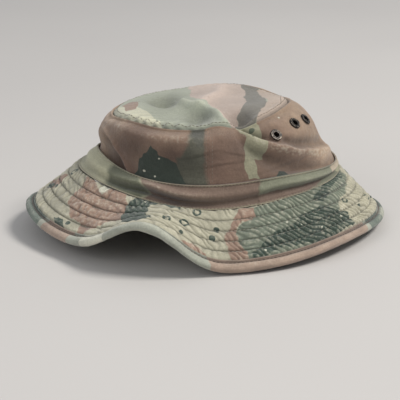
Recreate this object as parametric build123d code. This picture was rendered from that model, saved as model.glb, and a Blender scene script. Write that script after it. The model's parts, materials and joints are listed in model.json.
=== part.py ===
"""Boonie hat: soft crown with a dented tip, plain hat band, and a wide quilted brim with a bound edge.

Frame, in millimetres: origin at the centre of the head opening, at the mean height of the crown-to-brim
seam. +Z is up, -Y is the front of the hat and +X is the wearer's left.

A bearing is an angle in degrees round +Z: 0 is the wearer's left, 90 the back, 180 the right, -90 the front.
Every cloth layer is a closed loop of rings, and each ring is a smooth curve through all the bearings.
"""

import math
import os

from build123d import *

# ---- Outline: an oval is (half length along Y, half width along X, shift of its centre along Y) ----
SEAM_OVAL = (110.0, 88.0, 0.0)
BAND_OVAL = (99.0, 84.0, 7.5)
TIP_OVAL = (73.5, 64.0, -7.0)

# ---- Heights and slopes: a wave is a base value and its swells, each (bearing, spread, height) ----
SEAM_LEVEL = (1.5, [(0, 48, -11.0), (180, 48, -8.0), (-75, 30, 4.0)])
BAND_LEVEL = (14.0, [(-78, 26, 8.0), (-15, 45, -2.5), (40, 30, 3.5), (95, 30, -4.0)])
TIP_SWELLS = [(-105, 30, -3.0), (-55, 20, 2.5), (6, 9, 2.5), (24, 10, -3.0), (68, 18, 2.0), (75, 45, 8.0)]
TIP_SWELLS += [(150, 25, 3.0), (180, 70, 7.0), (-155, 28, -2.5)]
TIP_LEVEL = (50.5, TIP_SWELLS)
BRIM_DROOP = (33.5, [(-20, 17, -36.0), (0, 10, 4.0), (85, 40, 11.5), (-113, 20, 12.0), (122, 22, 7.5), (170, 20, -8.0)])
BRIM_REACH = (60.0, [(60, 30, -8.0), (-95, 25, -6.5)])

# ---- Crown ----
FABRIC = 0.7
GAP = 0.1
WALL_BULGE = 8.5
BULGE_POWER = (1.6, [(-90, 50, -0.4), (85, 50, 0.45)])
CROWN_START = 0.1
DOME_HEIGHT = 4.0
TIP_MEAN_LEVEL = 55.0
DENT_CENTRE = (25.0, -28.0)
DENT_DEPTH = 7.0
DENT_RADIUS = 20.0
WALL_RISES = (0.0, 0.1, 0.22, 0.36, 0.5, 0.64, 0.78, 0.9, 1.0)
TIP_SPREADS = (0.995, 0.93, 0.84, 0.72, 0.58, 0.44, 0.3, 0.16, 0.06)

# ---- Strips sewn to the crown: a span is its (lower, upper) share of the band or of the wall ----
HAT_BAND_CLOTH = 0.9
HAT_BAND_SPAN = (0.12, 0.94)
SWEATBAND_CLOTH = 1.0
SWEATBAND_SPAN = (0.12, 0.9)
TAPE_CLOTH = 0.5
TAPE_GAP = 0.2
TIP_TAPE_RISES = (0.9, 0.985)
SIDE_TAPE_RISES = WALL_RISES[1:7]
SIDE_TAPE_WIDTH = 10.0

# ---- Brim: shares are measured outward from the seam (0) to the bound edge (1) ----
BRIM_CLOTH = 0.7
INTERLINING = 0.8
BRIM_EDGE_SHARE = 0.965
BINDING_SHARE = 0.845
BINDING_CLOTH = 0.8
QUILTING_SHARES = (0.185, 0.36, 0.53, 0.695)
BINDING_STITCH_SHARE = 0.88

# ---- Thread ----
THREAD_RADIUS = 0.3
THREAD_SIDES = 6
SIDE_STITCH_OFFSET = 2.5

# ---- Metal eyelets, each at a (bearing, rise) on the wall ----
EYELETS = ((42.0, 0.728), (59.7, 0.78), (72.1, 0.757))
EYELET_BORE = 2.5
EYELET_BARREL = 2.85
EYELET_FLANGE = 5.0
EYELET_FLANGE_THICKNESS = 0.8
EYELET_STANDOFF = 0.25
EYELET_REACH_INSIDE = 2.3
WASHER_RADIUS = 4.8
WASHER_THICKNESS = 0.5
WASHER_STANDOFF = 0.75
WALL_HOLE = 3.0

# ---- Blank label that hangs inside, at the back ----
LABEL_WIDTH = 38.0
LABEL_DROP = 30.0
LABEL_CLOTH = 0.5
LABEL_HEM = 5.0
LABEL_INSET = 5.0
LABEL_HINGE_LEVEL = 45.0
LABEL_FOLD_GAP = 0.4

RING_POINTS = 48
BIG = 400.0


# ==== Curves ====
def swell(bearing, centre, spread):
    """A smooth hump of height 1 round the circle."""
    width = 1 - math.cos(math.radians(spread))
    return math.exp((math.cos(math.radians(bearing - centre)) - 1) / width)


def wave(profile, bearing):
    """The value of a wave at a bearing."""
    base, swells = profile
    return base + sum(height * swell(bearing, centre, spread) for centre, spread, height in swells)


def oval_radius(oval, bearing):
    """Distance from the origin to a shifted oval, along a bearing."""
    half_length, half_width, shift = oval
    cosine = math.cos(math.radians(bearing))
    sine = math.sin(math.radians(bearing))
    a = (cosine / half_width) ** 2 + (sine / half_length) ** 2
    b = -2 * sine * shift / half_length**2
    c = (shift / half_length) ** 2 - 1
    return (-b + math.sqrt(b * b - 4 * a * c)) / (2 * a)


def from_polar(bearing, radius, height):
    """A point from its bearing, its distance from the axis and its height."""
    angle = math.radians(bearing)
    return Vector(radius * math.cos(angle), radius * math.sin(angle), height)


# ==== Surfaces: each is a function of bearing, a share of the way along, and a distance off the cloth ====
def brim_point(bearing, share, lift):
    """On the brim's middle surface, share 0 at the seam and 1 at the edge; lift is square to the slope."""
    droop = math.radians(wave(BRIM_DROOP, bearing))
    reach = wave(BRIM_REACH, bearing) * share
    radius = oval_radius(SEAM_OVAL, bearing) + reach * math.cos(droop) + lift * math.sin(droop)
    height = wave(SEAM_LEVEL, bearing) - reach * math.sin(droop) + lift * math.cos(droop)
    return from_polar(bearing, radius, height)


def band_profile(bearing, rise):
    """Radius and height on the outside of the crown, from the brim seam (0) to the top of the band (1)."""
    radius = oval_radius(SEAM_OVAL, bearing) * (1 - rise) + oval_radius(BAND_OVAL, bearing) * rise
    height = wave(SEAM_LEVEL, bearing) * (1 - rise) + wave(BAND_LEVEL, bearing) * rise
    return radius, height


def wall_profile(bearing, rise):
    """Radius and height on the outside of the crown, from the top of the band (0) to the tip seam (1)."""
    bulge = WALL_BULGE * math.sin(math.pi * min(1.0, max(0.0, rise)) ** wave(BULGE_POWER, bearing))
    radius = oval_radius(BAND_OVAL, bearing) * (1 - rise) + oval_radius(TIP_OVAL, bearing) * rise + bulge
    height = wave(BAND_LEVEL, bearing) * (1 - rise) + wave(TIP_LEVEL, bearing) * rise
    return radius, height


def offset_profile(profile, bearing, rise, out):
    """A point at a distance outward from a crown profile, square to its slope."""
    step = 0.02
    low_radius, low_height = profile(bearing, max(0.0, rise - step))
    high_radius, high_height = profile(bearing, min(1.0, rise + step))
    length = math.hypot(high_radius - low_radius, high_height - low_height)
    radius, height = profile(bearing, rise)
    radius += out * (high_height - low_height) / length
    height -= out * (high_radius - low_radius) / length
    return from_polar(bearing, radius, height)


def band_point(bearing, rise, out):
    """On the band zone of the crown."""
    return offset_profile(band_profile, bearing, rise, out)


def wall_point(bearing, rise, out):
    """On the wall of the crown."""
    return offset_profile(wall_profile, bearing, rise, out)


def tip_point(bearing, spread, lift):
    """On top of the crown, spread 1 at the tip seam and 0 in the middle, with the dent pressed in."""
    place = from_polar(bearing, spread * oval_radius(TIP_OVAL, bearing), 0)
    rim = (wave(TIP_LEVEL, bearing) - TIP_MEAN_LEVEL) * spread**2
    dome = DOME_HEIGHT * (1 - spread**3)
    distance = math.hypot(place.X - DENT_CENTRE[0], place.Y - DENT_CENTRE[1])
    dent = DENT_DEPTH * math.exp(-((distance / DENT_RADIUS) ** 2))
    return Vector(place.X, place.Y, TIP_MEAN_LEVEL + rim + dome - dent + lift)


# ==== Solids from rings ====
def ring_edge(place):
    """A closed smooth curve through place(bearing)."""
    points = [place(360.0 * i / RING_POINTS) for i in range(RING_POINTS)]
    return Edge.make_spline(points, periodic=True, parameters=[i / RING_POINTS for i in range(RING_POINTS + 1)])


def ring_solid(section):
    """A solid ring whose cross-section has one corner for each place in section."""
    edges = [ring_edge(place) for place in section]
    following = edges[1:] + edges[:1]
    return Solid(Shell([Face.make_surface_from_curves(one, other) for one, other in zip(edges, following)]))


def on(surface, share, out):
    """The ring at one share of a surface, at one distance off it."""
    return lambda bearing: surface(bearing, share, out)


def layer(surface, shares, inner, outer):
    """A cloth layer between two distances off a surface."""
    outside = [on(surface, share, outer) for share in shares]
    inside = [on(surface, share, inner) for share in reversed(shares)]
    return ring_solid(outside + inside)


def steps(span, count):
    """Evenly spaced shares over a span."""
    low, high = span
    return [low + (high - low) * i / count for i in range(count + 1)]


def along_surface(surface, bearing, share, out):
    """Unit direction along a surface, up a wall or outward on a brim, at one bearing."""
    step = 0.01
    return (surface(bearing, share + step, out) - surface(bearing, share - step, out)).normalized()


def thread_ring(surface, share, out):
    """A row of stitching all the way round, as one thread of six flats."""

    def corner(turn):
        def place(bearing):
            centre = surface(bearing, share, out)
            along = along_surface(surface, bearing, share, out)
            away = (surface(bearing, share, out + 1) - centre).normalized()
            return centre + along * (THREAD_RADIUS * math.cos(turn)) + away * (THREAD_RADIUS * math.sin(turn))

        return place

    return ring_solid([corner(2 * math.pi * i / THREAD_SIDES) for i in range(THREAD_SIDES)])


def block(x_range, y_range):
    """A tall box over a range of X and Y, used to cut rings."""
    size_x = x_range[1] - x_range[0]
    size_y = y_range[1] - y_range[0]
    place = Location(((x_range[0] + x_range[1]) / 2, (y_range[0] + y_range[1]) / 2, 0))
    return place * Box(size_x, size_y, BIG)


# ==== Crown ====
def crown_wall():
    """The crown's side as one ring, from the brim seam up to the tip seam."""
    band_rises = [CROWN_START, 0.5, 0.95]
    outside = [on(band_point, rise, 0) for rise in band_rises]
    outside += [on(wall_point, rise, 0) for rise in WALL_RISES[1:]]
    inside = [on(wall_point, rise, -FABRIC) for rise in reversed(WALL_RISES[1:])]
    inside += [on(band_point, rise, -FABRIC) for rise in reversed(band_rises)]
    return ring_solid(outside + inside)


def eyelet_frames():
    """Planes on the wall at each eyelet, Z outward: the left three, then the right three."""
    bearings = [(bearing, rise) for bearing, rise in EYELETS]
    bearings += [(180 - bearing, rise) for bearing, rise in EYELETS]
    planes = []
    for bearing, rise in bearings:
        centre = wall_point(bearing, rise, 0)
        up = along_surface(wall_point, bearing, rise, 0)
        sideways = (wall_point(bearing + 1, rise, 0) - wall_point(bearing - 1, rise, 0)).normalized()
        planes.append(Plane(origin=centre, x_dir=sideways, z_dir=sideways.cross(up)))
    return planes


def tube(outer, inner, low, high):
    """A tube along Z between two heights."""
    wall = Cylinder(outer, high - low) - Cylinder(inner, 2 * (high - low))
    return Location((0, 0, (low + high) / 2)) * wall


def eyelet():
    """A flange outside the cloth with a barrel through it."""
    flange_top = EYELET_STANDOFF + EYELET_FLANGE_THICKNESS
    flange = tube(EYELET_FLANGE, EYELET_BORE, EYELET_STANDOFF, flange_top)
    flange = chamfer(flange.edges().group_by(Axis.Z)[-1].sort_by(SortBy.RADIUS)[-1], EYELET_FLANGE_THICKNESS / 2)
    return flange + tube(EYELET_BARREL, EYELET_BORE, -EYELET_REACH_INSIDE, EYELET_STANDOFF)


def eyelet_washer():
    """The ring that the barrel is set against, inside the cloth."""
    top = -FABRIC - WASHER_STANDOFF
    return tube(WASHER_RADIUS, EYELET_BARREL + GAP, top - WASHER_THICKNESS, top)


def crown_tip():
    """The top panel, a thin dome that closes in the middle."""
    skins = []
    for lift in (GAP, GAP + FABRIC):
        rings = [ring_edge(on(tip_point, spread, lift)) for spread in TIP_SPREADS]
        skins += [Face.make_surface_from_curves(one, other) for one, other in zip(rings[:-1], rings[1:])]
        middle = Vertex(*tip_point(0, 0, lift))
        skins += Shell.make_loft([Wire([rings[-1]]), middle], ruled=True).faces()
    rims = [ring_edge(on(tip_point, TIP_SPREADS[0], lift)) for lift in (GAP, GAP + FABRIC)]
    return Solid(Shell(skins + [Face.make_surface_from_curves(*rims)]))


def crown_parts():
    """Two side panels, the tip, and the seams that join them."""
    wall = crown_wall()
    holes = [plane.location * Cylinder(WALL_HOLE, 8) for plane in eyelet_frames()]
    seam_gap = GAP / 2
    parts = {}
    parts["crown_side_front"] = wall & block((-BIG, BIG), (-BIG, -seam_gap))
    parts["crown_side_rear"] = (wall & block((-BIG, BIG), (seam_gap, BIG))) - holes
    parts["crown_tip"] = crown_tip()
    parts["tip_seam_stitch"] = thread_ring(tip_point, 0.955, FABRIC + 2 * GAP + THREAD_RADIUS)
    tape_outer = -FABRIC - TAPE_GAP
    tape_inner = tape_outer - TAPE_CLOTH
    parts["tip_seam_tape"] = layer(wall_point, TIP_TAPE_RISES, tape_inner, tape_outer)
    tape = layer(wall_point, SIDE_TAPE_RISES, tape_inner, tape_outer)
    thread = layer(wall_point, SIDE_TAPE_RISES, GAP, GAP + THREAD_RADIUS)
    for side, x_range in (("left", (0, BIG)), ("right", (-BIG, 0))):
        parts["side_seam_tape_" + side] = tape & block(x_range, (-SIDE_TAPE_WIDTH / 2, SIDE_TAPE_WIDTH / 2))
        rows = [
            thread & block(x_range, (offset - THREAD_RADIUS, offset + THREAD_RADIUS))
            for offset in (-SIDE_STITCH_OFFSET, SIDE_STITCH_OFFSET)
        ]
        parts["side_seam_stitch_" + side] = Compound(rows[0].solids() + rows[1].solids())
    return parts


def eyelet_parts():
    """Three eyelets and their washers on each side of the crown."""
    frames = eyelet_frames()
    count = len(EYELETS)
    parts = {}
    for side, planes in (("left", frames[:count]), ("right", frames[count:])):
        parts["eyelets_" + side] = Compound([s for plane in planes for s in (plane.location * eyelet()).solids()])
        washers = [s for plane in planes for s in (plane.location * eyelet_washer()).solids()]
        parts["eyelet_washers_" + side] = Compound(washers)
    return parts


# ==== Band and sweatband ====
def band_parts():
    """The strip round the outside of the crown, the one inside it, and their stitching."""
    band_inner = GAP
    band_outer = GAP + HAT_BAND_CLOTH
    sweat_outer = -FABRIC - GAP
    sweat_inner = sweat_outer - SWEATBAND_CLOTH
    thread_off = GAP + THREAD_RADIUS
    return {
        "hat_band": layer(band_point, steps(HAT_BAND_SPAN, 3), band_inner, band_outer),
        "hat_band_upper_stitch": thread_ring(band_point, 0.9, band_outer + thread_off),
        "hat_band_lower_stitch": thread_ring(band_point, 0.2, band_outer + thread_off),
        "sweatband": layer(band_point, steps(SWEATBAND_SPAN, 3), sweat_inner, sweat_outer),
        "sweatband_stitch": thread_ring(band_point, 0.2, sweat_inner - thread_off),
    }


# ==== Brim ====
def binding_section(stack):
    """Corners of the folded binding round the brim edge, as (share, lift)."""
    inner = stack + GAP
    outer = inner + BINDING_CLOTH
    bevel = 0.985
    core = BRIM_EDGE_SHARE + 0.005
    upper = [(BINDING_SHARE, outer), (bevel, outer), (1.0, outer - BINDING_CLOTH)]
    lower = [(share, -lift) for share, lift in reversed(upper)]
    inside = [(BINDING_SHARE, -inner), (core, -inner), (core, inner), (BINDING_SHARE, inner)]
    return upper + lower + inside


def brim_parts():
    """Two cloth layers over an interlining, quilted in rows, with a folded binding on the edge."""
    core = INTERLINING / 2
    cloth = core + GAP / 2
    stack = cloth + BRIM_CLOTH
    shares = [0.0, BRIM_EDGE_SHARE]
    binding = [on(brim_point, share, lift) for share, lift in binding_section(stack)]
    parts = {
        "brim_upper": layer(brim_point, shares, cloth, stack),
        "brim_interlining": layer(brim_point, shares, -core, core),
        "brim_lower": layer(brim_point, shares, -stack, -cloth),
        "brim_binding": ring_solid(binding),
    }
    thread_off = GAP + THREAD_RADIUS
    for number, share in enumerate(QUILTING_SHARES, 1):
        parts[f"quilting_row_{number}_top"] = thread_ring(brim_point, share, stack + thread_off)
        parts[f"quilting_row_{number}_under"] = thread_ring(brim_point, share, -stack - thread_off)
    binding_face = stack + GAP + BINDING_CLOTH + thread_off
    parts["binding_stitch_top"] = thread_ring(brim_point, BINDING_STITCH_SHARE, binding_face)
    parts["binding_stitch_under"] = thread_ring(brim_point, BINDING_STITCH_SHARE, -binding_face)
    return parts


# ==== Label ====
def label_hinge_y():
    """Distance back from the origin to the fold of the label."""
    return oval_radius(TIP_OVAL, 90) - LABEL_INSET


def label_parts():
    """A blank label: a hem that is sewn in, and the flap that swings from it about the fold."""
    y = label_hinge_y()
    hem_level = LABEL_HINGE_LEVEL + LABEL_FOLD_GAP + LABEL_HEM / 2
    hem = Location((0, y, hem_level)) * Box(LABEL_WIDTH, LABEL_CLOTH, LABEL_HEM)
    flap = Location((0, y, LABEL_HINGE_LEVEL - LABEL_DROP / 2)) * Box(LABEL_WIDTH, LABEL_CLOTH, LABEL_DROP)
    stitch_y = y - LABEL_CLOTH / 2 - GAP - THREAD_RADIUS
    row = Cylinder(THREAD_RADIUS, LABEL_WIDTH - 4, rotation=(0, 90, 0))
    stitch = Location((0, stitch_y, hem_level)) * row
    return {"label_hem": hem, "size_label": flap, "label_stitch": stitch}


def main():
    """Write one file for each part."""
    os.makedirs("parts", exist_ok=True)
    parts = {**crown_parts(), **eyelet_parts(), **band_parts(), **brim_parts(), **label_parts()}
    for name, shape in parts.items():
        export_step(shape, f"parts/{name}.step")


if __name__ == "__main__":
    main()
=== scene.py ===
"""Boonie hat: the looks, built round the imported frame.

Lengths are in millimetres until a mesh is made. A bearing is an angle in degrees round +Z: 0 is the wearer's
left, which faces the camera, 90 is the back and -90 the front. A share runs from 0 to 1: up the wall, up the
band, outward over the brim. Every cloth surface is sampled from the frame, then given its relief and its
print.
"""

import json
import math

import bpy
import numpy as np
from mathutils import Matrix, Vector
from mathutils.bvhtree import BVHTree


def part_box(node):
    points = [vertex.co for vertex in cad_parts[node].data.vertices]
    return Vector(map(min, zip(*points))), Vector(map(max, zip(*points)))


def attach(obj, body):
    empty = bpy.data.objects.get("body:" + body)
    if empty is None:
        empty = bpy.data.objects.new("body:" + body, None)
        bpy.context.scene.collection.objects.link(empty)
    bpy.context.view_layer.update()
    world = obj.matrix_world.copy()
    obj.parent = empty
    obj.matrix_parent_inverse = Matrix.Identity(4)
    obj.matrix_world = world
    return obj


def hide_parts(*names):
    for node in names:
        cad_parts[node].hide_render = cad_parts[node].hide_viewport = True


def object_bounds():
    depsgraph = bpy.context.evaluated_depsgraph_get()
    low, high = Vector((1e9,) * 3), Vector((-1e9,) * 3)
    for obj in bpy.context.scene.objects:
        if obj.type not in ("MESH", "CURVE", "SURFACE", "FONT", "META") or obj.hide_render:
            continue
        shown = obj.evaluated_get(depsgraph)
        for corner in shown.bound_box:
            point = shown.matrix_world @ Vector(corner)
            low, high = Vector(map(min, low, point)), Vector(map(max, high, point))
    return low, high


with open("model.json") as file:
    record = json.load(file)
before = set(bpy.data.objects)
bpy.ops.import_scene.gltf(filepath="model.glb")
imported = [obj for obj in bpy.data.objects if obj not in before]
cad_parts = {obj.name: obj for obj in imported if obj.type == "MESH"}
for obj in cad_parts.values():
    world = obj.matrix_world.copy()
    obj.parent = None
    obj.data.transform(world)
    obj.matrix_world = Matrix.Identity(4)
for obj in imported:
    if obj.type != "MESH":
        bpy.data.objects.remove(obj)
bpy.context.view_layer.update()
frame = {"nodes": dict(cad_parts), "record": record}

MM = 1000.0
SAMPLE_BEARINGS = np.arange(-179.5, 180.0, 1.0)
RNG = np.random.default_rng(11)


# ==== Reading the frame ====
def node_arrays(*names):
    """Vertices in millimetres, edges and polygons of some CAD nodes, joined."""
    points, edges, polygons, start = [], [], [], 0
    for name in names:
        mesh = frame["nodes"][name].data
        flat = np.empty(len(mesh.vertices) * 3)
        mesh.vertices.foreach_get("co", flat)
        pairs = np.empty(len(mesh.edges) * 2, dtype=np.int64)
        mesh.edges.foreach_get("vertices", pairs)
        points.append(flat.reshape(-1, 3) * MM)
        edges.append(pairs.reshape(-1, 2) + start)
        polygons += [[v + start for v in polygon.vertices] for polygon in mesh.polygons]
        start += len(mesh.vertices)
    return np.concatenate(points), np.concatenate(edges), polygons


def sections(name):
    """For each sample bearing, the (radius, height) points where a node's edges cross that half-plane."""
    points, edges, _ = node_arrays(name)
    found = []
    for bearing in np.radians(SAMPLE_BEARINGS):
        outward = points[:, 0] * math.cos(bearing) + points[:, 1] * math.sin(bearing)
        aside = points[:, 1] * math.cos(bearing) - points[:, 0] * math.sin(bearing)
        first, second = edges[:, 0], edges[:, 1]
        crossing = ((aside[first] < 0) != (aside[second] < 0)) & (outward[first] > 0)
        first, second = first[crossing], second[crossing]
        way = aside[first] / (aside[first] - aside[second])
        radius = outward[first] + (outward[second] - outward[first]) * way
        height = points[first, 2] + (points[second, 2] - points[first, 2]) * way
        found.append(np.stack([radius, height], axis=1))
    return found


def furthest(section, direction, tolerance=0.6):
    """The mean of the points that lie furthest along a direction."""
    along = section @ np.asarray(direction)
    return section[along > along.max() - tolerance].mean(axis=0)


def smoothed(values, rounds=3):
    """Values round the circle with the facets of the frame smoothed away."""
    for _ in range(rounds):
        values = (np.roll(values, 1, axis=0) + 2 * values + np.roll(values, -1, axis=0)) / 4
    return values


def at(values, bearing):
    """Values at the sample bearings, read at any bearing."""
    return np.interp(bearing, SAMPLE_BEARINGS, values, period=360)


def on_grid(table, bearings, shares):
    """A table over (sample bearing, even share), read over a grid of bearings and shares."""
    even = np.linspace(0, 1, table.shape[1])
    rows = np.stack([np.interp(shares, even, row) for row in table])
    return np.stack([at(column, bearings) for column in rows.T], axis=1)


def polar(bearing, radius, height):
    """Points from bearings, distances from the axis and heights."""
    angle = np.radians(bearing)
    return np.stack(np.broadcast_arrays(radius * np.cos(angle), radius * np.sin(angle), height), axis=-1)


# ==== Noise and shape helpers ====
def hashed(x, y, z, seed):
    """A repeatable number from -1 to 1 for each whole-number cell."""
    n = (x * 374761393 + y * 668265263 + z * 1440662683 + seed * 974634777) & 0xFFFFFFFF
    n = ((n ^ (n >> 13)) * 1274126177) & 0xFFFFFFFF
    return ((n ^ (n >> 16)) & 0xFFFF) / 32767.5 - 1


def noise(points, scale, seed=0):
    """Smooth noise from -1 to 1 whose features are about as large as scale."""
    place = points / scale
    cell = np.floor(place).astype(np.int64)
    part = place - cell
    part = part * part * (3 - 2 * part)
    total = 0
    for corner in np.ndindex(2, 2, 2):
        weight = 1
        for axis, side in enumerate(corner):
            weight = weight * (part[..., axis] if side else 1 - part[..., axis])
        total = total + weight * hashed(*[cell[..., axis] + corner[axis] for axis in range(3)], seed)
    return total


def swell(bearing, centre, spread):
    """A smooth hump of height 1 round the circle."""
    width = 1 - math.cos(math.radians(spread))
    return np.exp((np.cos(np.radians(bearing - centre)) - 1) / width)


def hump(x, centre, width):
    """A smooth hump of height 1 along a line."""
    return np.exp(-(((x - centre) / width) ** 2))


def ease(x, low, high):
    """0 up to low, 1 from high on, and smooth between."""
    t = np.clip((x - low) / (high - low), 0, 1)
    return t * t * (3 - 2 * t)


def cells(x, y, size, seed):
    """Distance to the nearest of scattered points, in sizes: 0 at a point, near 1 between points."""
    gx, gy = np.floor(x / size).astype(np.int64), np.floor(y / size).astype(np.int64)
    nearest = np.full(np.broadcast(x, y).shape, 9.0)
    for i, j in np.ndindex(3, 3):
        cx, cy = gx + i - 1, gy + j - 1
        px = cx + 0.5 + 0.42 * hashed(cx, cy, 0 * cx, seed)
        py = cy + 0.5 + 0.42 * hashed(cx, cy, 0 * cx, seed + 1)
        nearest = np.minimum(nearest, np.hypot(x / size - px, y / size - py))
    return nearest


def path_distance(x, y, path):
    """Distance from points to a line through the path's corners."""
    nearest = np.full(np.broadcast(x, y).shape, 1e9)
    for (x0, y0), (x1, y1) in zip(path[:-1], path[1:]):
        dx, dy = x1 - x0, y1 - y0
        along = np.clip(((x - x0) * dx + (y - y0) * dy) / (dx * dx + dy * dy), 0, 1)
        nearest = np.minimum(nearest, np.hypot(x - x0 - along * dx, y - y0 - along * dy))
    return nearest


def inside(x, y, corners):
    """Whether points are inside a closed outline."""
    found = np.zeros(np.broadcast(x, y).shape, dtype=bool)
    for (x0, y0), (x1, y1) in zip(corners, corners[1:] + corners[:1]):
        if y0 != y1:
            found ^= ((y < y0) != (y < y1)) & (x < x0 + (y - y0) * (x1 - x0) / (y1 - y0))
    return found


# ==== Prints: a patch is an outline, a spot or a ring, in (bearing or x, share or y) ====
UNPRINTED = -30.0


def wavered(u, v, unit, points):
    """Places along and across the cloth in millimetres, strayed a little, as a print's outlines stray."""
    x = u * unit[0] + 2.6 * noise(points, 11.0, 91) + 1.1 * noise(points, 4.5, 92)
    y = v * unit[1] + 2.6 * noise(points, 11.0, 93) + 1.1 * noise(points, 4.5, 94)
    return x, y


def patch_field(u, v, patches, unit, points):
    """How far each point is inside the nearest patch, in millimetres; unit is the size of one u and one v."""
    field = np.full(np.broadcast(u, v).shape, UNPRINTED)
    ku, kv = unit
    x, y = wavered(u, v, unit, points)
    for kind, *shape in patches:
        if kind == "outline":
            corners = [(a * ku, b * kv) for a, b in shape]
            distance = path_distance(x, y, corners + corners[:1])
            value = np.where(inside(x, y, corners), distance, -distance)
        else:
            centre_u, centre_v, radius = shape[:3]
            distance = np.hypot((u - centre_u) * ku, (v - centre_v) * kv) + 0.4 * noise(points, 3.0, 95)
            value = radius - distance if kind == "spot" else shape[3] / 2 - np.abs(distance - radius)
        field = np.maximum(field, value)
    return field


def scattered(count, u_range, v_range, size, unit):
    """Rounded outlines at random places, for the sides that the print has no set pattern on."""
    patches = []
    for _ in range(count):
        u, v = RNG.uniform(*u_range), RNG.uniform(*v_range)
        reach = RNG.uniform(*size)
        stretch = RNG.uniform(0.6, 1.6)
        corners = []
        for turn in np.arange(0, 2 * math.pi, math.pi / 4):
            far = reach * RNG.uniform(0.6, 1.25)
            corners.append((u + far * stretch * math.cos(turn) / unit[0], v + far * math.sin(turn) / unit[1]))
        patches.append(("outline", *corners))
    return patches


# ==== Meshes ====
def new_object(name, points, faces, fields, body="hat", replaces=(), slot=None, material=None):
    """A mesh object that rides a body, with its point fields as attributes."""
    mesh = bpy.data.meshes.new(name)
    mesh.from_pydata((points.reshape(-1, 3) / MM).tolist(), [], faces)
    for field, values in fields.items():
        values = np.asarray(values, dtype=np.float32)
        kind = "FLOAT_VECTOR" if values.size == points.size else "FLOAT"
        attribute = mesh.attributes.new(field, kind, "POINT")
        attribute.data.foreach_set("vector" if kind == "FLOAT_VECTOR" else "value", values.ravel())
    mesh.polygons.foreach_set("use_smooth", [True] * len(mesh.polygons))
    if material:
        mesh.materials.append(material)
    made = bpy.data.objects.new(name, mesh)
    bpy.context.collection.objects.link(made)
    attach(made, body)
    if replaces:
        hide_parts(*replaces)
    return made


def loop_faces(count, width, wrap_along, wrap_across, first=0):
    """Quads over a grid of count bearings by width places."""
    along = np.arange(count if wrap_along else count - 1)
    across = np.arange(width if wrap_across else width - 1)
    i, j = np.meshgrid(along, across, indexing="ij")
    i2, j2 = (i + 1) % count, (j + 1) % width
    quads = np.stack([i * width + j, i2 * width + j, i2 * width + j2, i * width + j2], axis=-1)
    return (quads.reshape(-1, 4) + first).tolist()


def spread_field(values, outer, extra):
    """A field over the outer surface, carried over to the inner places."""
    values = np.broadcast_to(values, outer.shape[:2] + np.shape(values)[2:])
    picks = np.linspace(values.shape[1] - 1, 0, extra).round().astype(int)
    return np.concatenate([values, values[:, picks]], axis=1)


def wrapped(outer, inner, fields):
    """The points of a closed sheet, out over one surface and back over the other, and its fields."""
    points = np.concatenate([outer, inner[:, ::-1]], axis=1)
    return points, {key: spread_field(values, outer, inner.shape[1]) for key, values in fields.items()}


def ring_solid(name, outer, inner, fields, **keep):
    """A closed ring from its outer and inner surfaces, each a grid over bearings and shares."""
    points, whole = wrapped(outer, inner, fields)
    return new_object(name, points, loop_faces(*points.shape[:2], True, True), whole, **keep)


def hole_sides(holes, width):
    """The faces that line the holes in a panel, between its outer and inner surfaces."""
    faces = []
    for i, j in np.argwhere(holes):
        corners = [(i, j), (i + 1, j), (i + 1, j + 1), (i, j + 1)]
        beyond = [(i, j - 1), (i + 1, j), (i, j + 1), (i - 1, j)]
        for side, (a, b), (c, d) in zip(beyond, corners, corners[1:] + corners[:1]):
            if not holes[side]:
                faces.append([a * width + b, c * width + d, (c + 1) * width - 1 - d, (a + 1) * width - 1 - b])
    return faces


def panel_solid(name, outer, inner, fields, holes=None, **keep):
    """A closed panel with two ends, from surfaces of the same size; holes marks the cells left out."""
    points, whole = wrapped(outer, inner, fields)
    count, width = points.shape[:2]
    faces = loop_faces(count, width, False, True)
    if holes is not None:
        holes = np.pad(holes, ((0, 0), (0, 1)))
        cell_rows = [(face[0] // width, face[0] % width) for face in faces]
        open_cells = [holes[i, min(j, width - 2 - j)] for i, j in cell_rows]
        faces = [face for face, is_open in zip(faces, open_cells) if not is_open] + hole_sides(holes, width)
    last = (count - 1) * width
    for j in range(outer.shape[1] - 1):
        start_cap = [j, j + 1, width - 2 - j, width - 1 - j]
        faces.append(start_cap)
        faces.append([last + v for v in reversed(start_cap)])
    return new_object(name, points, faces, whole, **keep)


STITCH_SIDES = 6


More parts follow.
